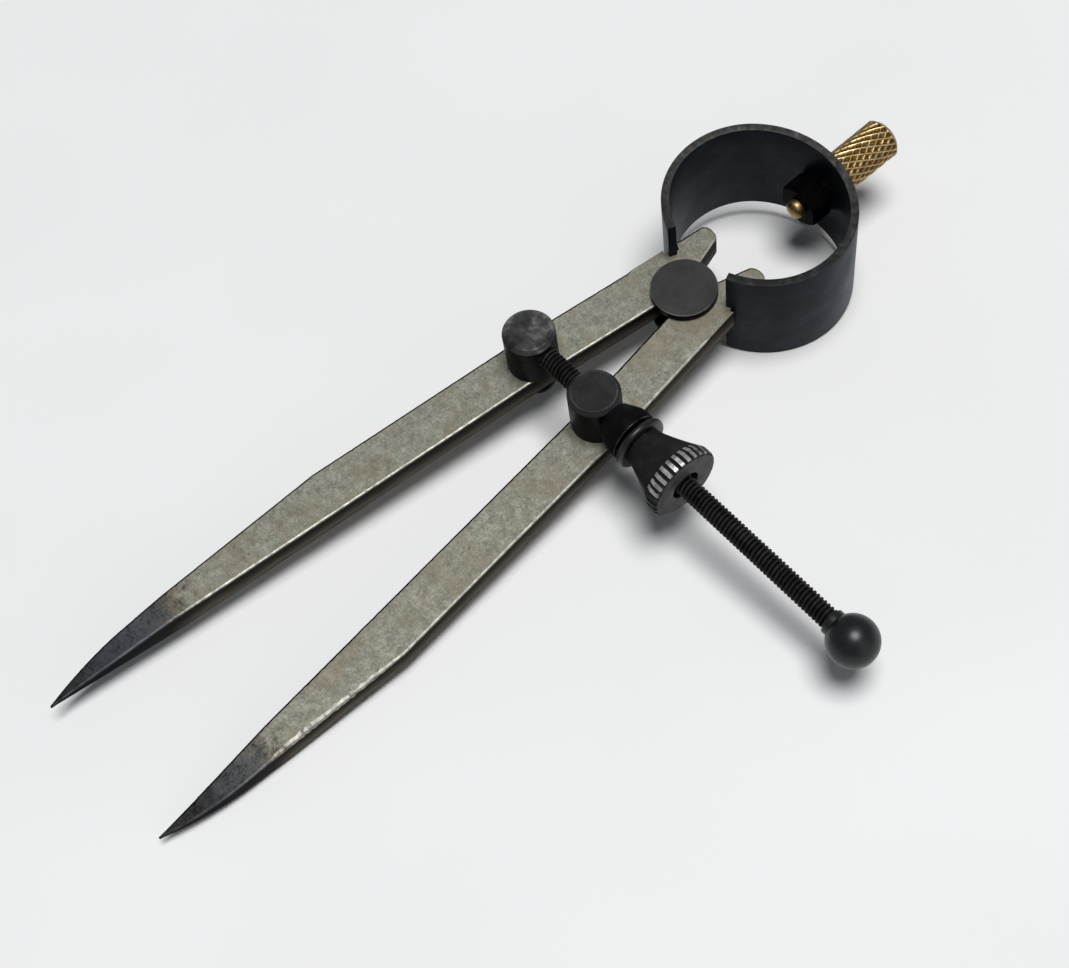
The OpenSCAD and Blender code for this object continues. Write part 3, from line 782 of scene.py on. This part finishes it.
def makePost(side):
    p, look = postShape, postSides[side]
    x, body = look["sign"] * postX, look["body"]
    node = side + "_post"
    foot, top = spanOf(node, 2)
    r, c = p["radius"], p["chamfer"]
    verts, faces, wear = turned([
        (0, foot, 0, 0), (p["tenon"], foot, 0.1, 0.6), (p["tenon"], p["legTop"], 0, 0),
        (r, p["legTop"], 0.06, 0), (r, top - c, p["edge"], 0.7), (r - c, top, p["edge"], 0.85),
        (0, top, 0, 0)], segments=128)
    # the top gets the lighter oxide: painted sheen
    kinds = [int(min(verts[k][2] for k in face) > top - c - p["edge"]) for face in faces]    # 1 on the top
    shaped, finish = upright(verts, x, screwY), [oxide, look["finish"]]
    piece = addPiece(node + "_turned", shaped, faces, finish, wear=wear, kinds=kinds)
    rod, rodFaces, _ = turned(rodOutline(look["bore"]), segments=64)
    carve(piece, addPiece(node + "_bore", alongScrew(rod, x), rodFaces, oxide))
    place(piece, body, node)
    node = side + "_post_washer"
    foot, top = spanOf(node, 2)
    verts, faces, wear = turned([
        (p["tenon"], foot, 0, 0), (p["washer"], foot, 0.12, 1), (p["washer"], top, 0.08, 0.4),
        (p["tenon"], top, 0, 0)], segments=96)
    piece = addPiece(node + "_turned", upright(verts, x, screwY), faces, oxide, wear=wear)
    place(piece, body, node)


for side in postSides:
    makePost(side)
print("posts made")


screwShape = {"pitch": 0.4536, "crest": 1.1, "root": 0.93, "around": 28, "sharp": 25}    # 56 to the inch
threadProfile = [(0.0, 1.0), (0.22, 1.0), (0.54, 0.0), (0.68, 0.0)]    # place in one pitch, height


def makeScrew():
    s = screwShape
    low, high = spanOf("adjusting_screw", 0)
    turns = int((high - low) / s["pitch"]) + 3
    per, around = len(threadProfile), s["around"]
    rows = turns * per
    verts, wear, faces = [], [], []
    for i in range(rows + per):
        at, height = threadProfile[i % per]
        for j in range(around):
            x = low - 2 * s["pitch"] + s["pitch"] * (i // per + at + j / around)
            r = s["root"] + (s["crest"] - s["root"]) * height
            if not low < x < high:
                x, r = min(max(x, low), high), s["root"]
            angle = 2 * math.pi * j / around
            verts.append((r * math.cos(angle), r * math.sin(angle), x))
            wear.append(height)
    for i in range(rows - 1):
        for j in range(around):
            a, b = i * around + j, (i + 1) * around + j
            if j + 1 < around:
                c, d = b + 1, a + 1
            else:    # the helix joins on one turn further
                c, d = (i + 1 + per) * around, (i + per) * around
            if max(a, b, c, d) < len(verts):
                faces.append((a, b, c, d))
    shaped = alongScrew(np.array(verts), 0)
    piece = addPiece("adjusting_screw_thread", shaped, faces, oxideScrew, wear=wear, sharp=s["sharp"])
    work = bmesh.new()
    work.from_mesh(piece.data)
    loose = [v for v in work.verts if not v.link_faces]
    bmesh.ops.delete(work, geom=loose, context="VERTS")
    bmesh.ops.holes_fill(work, edges=[e for e in work.edges if e.is_boundary])
    work.to_mesh(piece.data)
    work.free()
    tidyMesh(piece, s["sharp"])
    place(piece, "screw_swivel", "adjusting_screw")


ballShape = {"neck": 1.35, "bore": 1.1}


def makeBall():
    low, high = spanOf("ball_stop", 0)
    near, far = spanOf("ball_stop", 1)
    r = (far - near) / 2
    centre = high - r
    neck, bore = ballShape["neck"], ballShape["bore"]
    points = [(0, centre, 0, 0), (bore, centre, 0, 0), (bore, low, 0, 0), (neck, low, 0.08, 0.6)]
    for a in np.linspace(math.asin(neck / r), math.pi, 44):
        points.append((r * math.sin(a), centre - r * math.cos(a), 0, 0))
    verts, faces, wear = turned(points, segments=96)
    piece = addPiece("ball_stop_turned", alongScrew(verts, 0), faces, oxideBall, wear=wear)
    place(piece, "screw_swivel", "ball_stop")


makeScrew()
makeBall()
print("screw and ball made")


collarShape = {"radius": 2.7, "back": 1.9, "slope": 1.7, "bore": 1.15, "rim": 0.45, "floor": 0.25, "cup": 0.8}
thrustShape = {"radius": 2.95, "thick": 0.8, "bore": 1.15, "nose": 0.85, "rub": 0.62}
nutShape = {
    "small": 2.1, "neck": 2.25, "neckLength": 0.8, "bore": 1.15,
    "rim": 3.95, "rimLength": 1.2, "step": 0.2, "slant": 0.4, "round": 0.4, "sag": 0.06,
    "lands": 30, "grooveWide": 0.4, "grooveDeep": 0.2, "well": 1.6, "wellDeep": 0.9,
    "runOut": 0.35, "frontPlain": 0.02, "frontFade": 0.1,    # how the grooves end at the back and the front
    "faceDeep": 0.06, "faceRim": 0.05,
    "landBack": 0.15, "landFront": 0.12, "landIn": 0.36, "landEdge": 0.95,    # where a land can be rubbed
    # the lands are worn brightest towards one side of the nut and not at all past it: a painted highlight
    # over real wear
    "highlightSide": 2.4, "highlightEnd": 0.35,    # radians: the brightest lands, and how far past them it goes
    "highlightSpread": 0.6, "rubLeast": 0.62,
}


def makeCollar():
    c = collarShape
    low, high = spanOf("seat_collar", 0)
    verts, faces, wear = turned([
        (c["bore"], low, 0, 0), (c["back"], low, 0.08, 0.2), (c["radius"], low + c["slope"], 0.4, 0.3),
        (c["radius"], high, 0.15, 0.9), (c["radius"] - c["rim"], high, 0.1, 0.6),
        (c["bore"] + c["floor"], high - c["cup"], 0, 0), (c["bore"], high - c["cup"], 0, 0)], segments=96)
    piece = addPiece("seat_collar_turned", alongScrew(verts, 0), faces, oxide, wear=wear)
    place(piece, "seat_swivel", "seat_collar")


def makeThrustWasher():
    t, c = thrustShape, collarShape
    high = spanOf("thrust_washer", 0)[1]
    low = high - t["thick"]
    cupOut, cupIn = c["radius"] - c["rim"], c["bore"] + c["floor"]
    slope = (cupOut - cupIn) / c["cup"]
    nose = cupOut - slope * (c["cup"] - t["nose"])
    r = t["thick"] / 2
    points = [(t["bore"], low - t["nose"], 0, 0), (cupIn, low - t["nose"], 0.05, 0), (nose, low, 0, 0)]
    for a in np.linspace(-math.pi / 2, math.pi / 2, 17):
        rub = t["rub"] * max(0, math.cos(a)) ** 4
        points.append((t["radius"] - r + r * math.cos(a), low + r + r * math.sin(a), 0, rub))
    points.append((t["bore"], high, 0, 0))
    verts, faces, wear = turned(points, segments=112)
    piece = addPiece("thrust_washer_turned", alongScrew(verts, 0), faces, oxideBall, wear=wear)
    place(piece, "nut", "thrust_washer")


def makeNut():
    n = nutShape
    low, high = spanOf("adjusting_nut", 0)
    rimX = high - n["round"] - n["rimLength"]
    barX, runOut = rimX + n["slant"], rimX - n["runOut"]    # the rim's full size, the end of the grooves
    start, end = np.array((n["neck"], low + n["neckLength"])), np.array((n["rim"] - n["step"], rimX))
    chord = end - start
    inward = np.array((-chord[1], chord[0])) / np.linalg.norm(chord)
    points = [(n["bore"], low, 0, 0), (n["small"], low, 0.12, 0.7)]
    for t in np.linspace(0, 1, 32):
        at = start + chord * t + inward * 4 * n["sag"] * t * (1 - t)
        points.append((at[0], at[1], 0, 0))
    points += [(n["rim"] - n["step"] * (1 - t), rimX + n["slant"] * t, 0, 0) for t in (0.33, 0.67)]
    points += [(n["rim"], barX, 0.1, 0.4)]
    points += [(n["rim"], barX + (high - n["round"] - barX) * t, 0, 0) for t in (0.3, 0.6)]
    for a in np.linspace(0, math.pi / 2, 10):
        r = n["rim"] - n["round"] + n["round"] * math.cos(a)
        points.append((r, high - n["round"] + n["round"] * math.sin(a), 0, 0))
    points += [(n["well"], high, 0.08, 0.3), (n["well"], high - n["wellDeep"], 0, 0)]
    points += [(n["bore"], high - n["wellDeep"], 0, 0)]
    pitch = 2 * math.pi / n["lands"]

    def landShare(angle):  # 0 in the middle of a groove, 1 and more on a land
        return abs((angle / pitch + 0.5) % 1 - 0.5) * pitch * n["rim"] / (n["grooveWide"] / 2)

    def knurl(r, z, angle):
        if r < n["rim"] - n["round"] + n["faceRim"] or z < runOut:
            return r
        front = min(max((high - n["frontPlain"] - z) / n["frontFade"], 0), 1)
        fade = front * min((z - runOut) / n["runOut"], 1)
        return r - n["grooveDeep"] * fade * max(0, 1 - landShare(angle) ** 2)

    verts, faces, wear = turned(points, segments=16 * n["lands"], shape=knurl)
    for i, (x, y, z) in enumerate(verts):
        angle = math.atan2(y, x)
        onRim = math.hypot(x, y) > n["rim"] - n["landIn"]
        onLand = onRim and landShare(angle) > n["landEdge"]
        if onLand and runOut + n["landBack"] < z < high - n["landFront"]:
            # painted highlight: the land wear peaks at one side and stops past it
            beyond = (angle - n["highlightSide"] + math.pi) % (2 * math.pi) - math.pi
            share = max(math.cos(n["highlightSpread"] * beyond), 0)
            wear[i] = (n["rubLeast"] + (1 - n["rubLeast"]) * share) * (beyond < n["highlightEnd"])
    # the front face gets the lighter oxide: painted light
    kinds = [int(min(verts[k][2] for k in face) > high - n["faceDeep"]) for face in faces]    # 1 is the front
    shaped = alongScrew(verts, 0)
    finish = [oxideNut, oxideFaceLit]
    piece = addPiece("adjusting_nut_knurled", shaped, faces, finish, wear=wear, kinds=kinds, sharp=40)
    place(piece, "nut", "adjusting_nut")


makeCollar()
makeThrustWasher()
makeNut()
print("collar, thrust washer and nut made")


handleShape = {
    "radius": 2.3, "length": 9.0, "chamfer": 0.45, "stud": 1.1, "reach": 5.1, "dome": 0.6,
    "starts": 18, "lead": 60.0, "deep": 0.2, "weak": 0.7, "ridge": 0.65, "around": 252, "rings": 170,
    "footIn": 0.25, "footUp": 0.2, "endFlat": 0.35, "hollow": 0.8, "hollowRim": 0.03, "hollowDeep": 0.05,
    "fade": 0.2, "plainDirt": 0.4,    # the knurl fades into the chamfer; dirt where there is none
}
hexShape = {"flats": 4.5, "bore": 1.1, "chamfer": 0.3, "over": 0.01, "spare": 0.1, "sharp": 15}


def makeHandle():
    h = handleShape
    turnRate = math.tan(math.radians(90 - h["lead"])) / h["radius"]    # radians of twist per mm
    line = [(0.0, -h["reach"])]
    for a in np.linspace(0.12, math.pi / 2, 9):
        line.append((h["stud"] * math.sin(a), -h["reach"] + h["dome"] * (1 - math.cos(a))))
    line += [(h["stud"], z) for z in np.linspace(-h["reach"] + h["dome"] + 0.3, -0.02, 6)]
    line += [(h["stud"], 0.0), (h["radius"] - h["footIn"], 0.0), (h["radius"], h["footUp"])]
    bodyTop = h["length"] - h["chamfer"]
    line += [(h["radius"], z) for z in np.linspace(h["footUp"], bodyTop, h["rings"])[1:]]
    for t in np.linspace(0, 1, 9)[1:]:
        line.append((h["radius"] - h["chamfer"] * t, h["length"] - h["chamfer"] * (1 - t)))
    line += [(h["radius"] - h["chamfer"] - h["endFlat"], h["length"])]
    line += [(h["hollow"], h["length"] - h["hollowRim"]), (0.0, h["length"] - h["hollowDeep"])]
    verts, groove = [], []
    for s in range(h["around"]):
        angle = 2 * math.pi * s / h["around"]
        for r, z in line:
            deep, dirt = 0.0, h["plainDirt"]
            if z > h["footUp"] / 2 and r > h["radius"] - 0.01:    # on the knurled length
                ridge = 0.0    # two crossing rows of ridges with pits between, one row pressed up less
                for way, share in ((1, h["weak"]), (-1, 1.0)):
                    across = abs(((angle + way * z * turnRate) * h["starts"] / (2 * math.pi)) % 1 - 0.5) * 2
                    ridge = max(ridge, share * max(0, 1 - (1 - across) / h["ridge"]))
                fade = min(max((bodyTop - z) / h["fade"], 0), 1)
                deep = (1 - ridge) * fade
                dirt = deep + h["plainDirt"] * (1 - fade)
            r -= h["deep"] * deep
            verts.append((r * math.cos(angle), r * math.sin(angle), z))
            groove.append(dirt)
    faces = gridFaces(h["around"], len(line), closeRows=True)
    shaped = alongHandle(np.array(verts), crownY)
    piece = addPiece("handle_knurled", shaped, faces, brass, groove=groove, sharp=50)
    place(piece, "head", "handle")


def makeHandleNut():
    x = hexShape
    low, high = spanOf("handle_nut", 1)
    corner = x["flats"] / 2 / math.cos(math.pi / 6)
    turns = [k * math.pi / 3 for k in range(6)]
    verts = [(corner * math.cos(a), corner * math.sin(a), z) for z in (low, high) for a in turns]
    faces = [(k, (k + 1) % 6, 6 + (k + 1) % 6, 6 + k) for k in range(6)]
    faces += [(0, 1, 2, 3, 4, 5), (6, 7, 8, 9, 10, 11)]
    piece = addPiece("handle_nut_hex", alongHandle(np.array(verts), 0), faces, oxideShadedNut, sharp=x["sharp"])
    # corners turned back at both ends
    c, over, wide = x["chamfer"], x["over"], corner + x["spare"]
    lens, lensFaces, _ = turned([
        (0, low - over, 0, 0), (corner - c, low - over, 0, 0), (wide, low + c, 0, 0),
        (wide, high - c, 0, 0), (corner - c, high + over, 0, 0), (0, high + over, 0, 0)], segments=96)
    rounding = addPiece("nut_rounding", alongHandle(lens, 0), lensFaces, oxideShadedNut)
    carve(piece, rounding, "INTERSECT", sharp=x["sharp"])
    hole, ringFaces, _ = turned(rodOutline(x["bore"], low - 1, high + 1), segments=48)
    carve(piece, addPiece("nut_hole", alongHandle(hole, 0), ringFaces, oxideShadedNut), sharp=x["sharp"])
    place(piece, "head", "handle_nut")


makeHandle()
makeHandleNut()
print("handle made")


boardLook = {
    "stops": [(0.3, "#ebebeb"), (0.7, "#eeeeee")], "cloud": 40.0,    # mm
    "roughness": 0.85, "specular": 0.15,
}
# smooth white board: matt and very even
paper, paperTree, paperShader, paperCoords = newMaterial("matt_white_board")
paperCloud = addNode(paperTree, "TexNoise", {
    "Vector": paperCoords, "Scale": 1 / (boardLook["cloud"] * mm), "Detail": 2})
paperTone = addNode(paperTree, "ValToRGB", {"Fac": paperCloud.outputs[0], "stops": boardLook["stops"]})
setUp(paperTree, paperShader, {
    "Base Color": paperTone.outputs[0], "Roughness": boardLook["roughness"],
    "Specular IOR Level": boardLook["specular"]})


# the divider leans on the band's right edge and near the right point, as the shadows in the photo show;
# past that point the board runs level, so that the legs clear it when they open
floorShape = {"under": -7.0, "slopeX": 0.11, "slopeY": -0.0705, "level": -1.4, "fold": 6.0, "half": 1500}


def makeFloor():
    f = floorShape
    rise = math.hypot(f["slopeX"], f["slopeY"])
    upX, upY = f["slopeX"] / rise, f["slopeY"] / rise    # uphill on the board
    foldAt = (f["level"] - f["under"]) / rise
    verts = []
    for along in (-f["half"], *np.linspace(foldAt - f["fold"], foldAt + f["fold"], 13), f["half"]):
        past = min(max(along - foldAt + f["fold"], 0), 2 * f["fold"])
        height = f["under"] + rise * (min(along, foldAt + f["fold"]) - past ** 2 / (4 * f["fold"]))
        for side in (-f["half"], f["half"]):
            verts.append((along * upX - side * upY, along * upY + side * upX, height))
    addPiece("pale_floor", verts, gridFaces(len(verts) // 2, 2), paper)


makeFloor()

lightLook = {"worldFill": 0.1, "worldSeen": 0.4, "sky": "#e6eff8", "aim": (10, -22, 0)}    # aim in mm
world = bpy.data.worlds.new("studio")
bpy.context.scene.world = world
world.use_nodes = True
worldTree = world.node_tree
rays = addNode(worldTree, "LightPath", {})
seenA = addNode(worldTree, "Math", {
    "operation": "MAXIMUM", 0: rays.outputs["Is Camera Ray"], 1: rays.outputs["Is Glossy Ray"]})
seenB = addNode(worldTree, "Math", {
    "operation": "MAXIMUM", 0: seenA.outputs[0], 1: rays.outputs["Is Transmission Ray"]})
strength = addNode(worldTree, "MapRange", {
    "Value": seenB.outputs[0], "To Min": lightLook["worldFill"], "To Max": lightLook["worldSeen"]})
setUp(worldTree, worldTree.nodes["Background"], {
    "Color": hexLinear(lightLook["sky"]), "Strength": strength.outputs[0]})

lamps = [
    {"name": "overhead_softbox", "from": (0.09, 0.08, 0.99), "distance": 2400, "size": 1200, "share": 0.96},
    {"name": "side_panel", "from": (0.9, 0.1, 0.4), "distance": 900, "size": 900, "share": 0.13},
]
middle = Vector(lightLook["aim"]) * mm
for lamp in lamps:
    data = bpy.data.lights.new(lamp["name"], "AREA")
    data.shape = "DISK"
    data.size = lamp["size"] * mm
    away = lamp["distance"] * mm
    data.energy = lamp["share"] * math.pi ** 2 * away ** 2    # share of the light that makes paper white
    light = bpy.data.objects.new(lamp["name"], data)
    bpy.context.scene.collection.objects.link(light)
    light.location = middle + Vector(lamp["from"]).normalized() * away
    light.rotation_euler = Vector(lamp["from"]).to_track_quat("Z", "Y").to_euler()

cameraLook = {
    "at": (85.89, -74.13, 177.63), "target": (7.079, -20.127, 0.0), "roll": -8.546,
    "focal": 2031.541, "centre": (585.842, 462.355), "picture": (1069, 968),    # pixels
    "sensor": 36, "clip": (0.01, 20),    # mm, then m
}
cameraData = bpy.data.cameras.new("photo_camera")
camera = bpy.data.objects.new("photo_camera", cameraData)
bpy.context.scene.collection.objects.link(camera)
at, target = Vector(cameraLook["at"]), Vector(cameraLook["target"])
forward = (target - at).normalized()
right = forward.cross(Vector((0, 0, 1))).normalized()
up = right.cross(forward)
roll = math.radians(cameraLook["roll"])
rightR = right * math.cos(roll) + up * math.sin(roll)
upR = -right * math.sin(roll) + up * math.cos(roll)
camera.matrix_world = Matrix.Translation(at * mm) @ Matrix((rightR, upR, -forward)).transposed().to_4x4()
wide, high = cameraLook["picture"]
cameraData.sensor_width = cameraLook["sensor"]
cameraData.lens = cameraLook["focal"] * cameraLook["sensor"] / wide
cameraData.shift_x = (wide / 2 - cameraLook["centre"][0]) / wide
cameraData.shift_y = (cameraLook["centre"][1] - high / 2) / wide
cameraData.clip_start, cameraData.clip_end = cameraLook["clip"]
bpy.context.scene.camera = camera
bpy.context.scene.view_settings.view_transform = "Standard"
print("stage, light and camera made")
